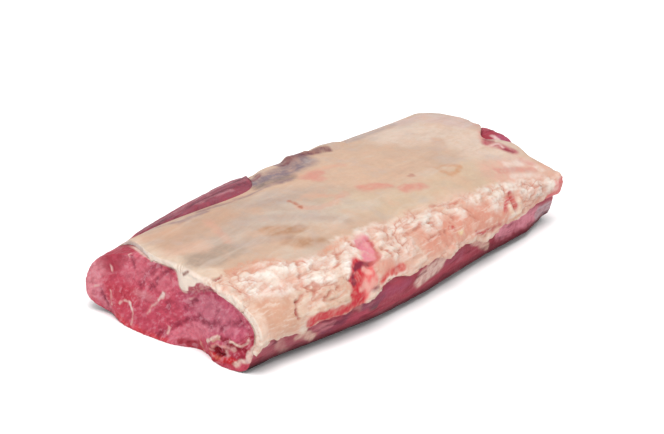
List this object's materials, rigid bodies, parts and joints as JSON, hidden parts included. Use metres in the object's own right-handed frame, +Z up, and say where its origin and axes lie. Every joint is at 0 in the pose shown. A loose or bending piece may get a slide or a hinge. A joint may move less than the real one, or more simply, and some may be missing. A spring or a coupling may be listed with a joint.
{
  "type": "pork loin",
  "caption": "Raw boneless pork loin: a long slab of lean red muscle, cut square at both ends, under a cap of cream back fat that wraps down one side.",
  "frame": {"origin": "on the floor, under the middle of the whole piece", "axes": "+X along the loin from the shown cut end to the far cut end, +Y towards the trimmed back side, +Z up; the fat wraps down the -Y side"},
  "size_m": [0.3024, 0.1698, 0.0615],
  "materials": {
    "lean": "moist raw muscle, raspberry red with paler fibres and fat veins",
    "fat": "cool raw fat, cream to beige, crumbly at the front and a smooth skin on top"
  },
  "bodies": {
    "root": {"lean": "lean", "fat_cap": "fat"}
  },
  "joints": []
}
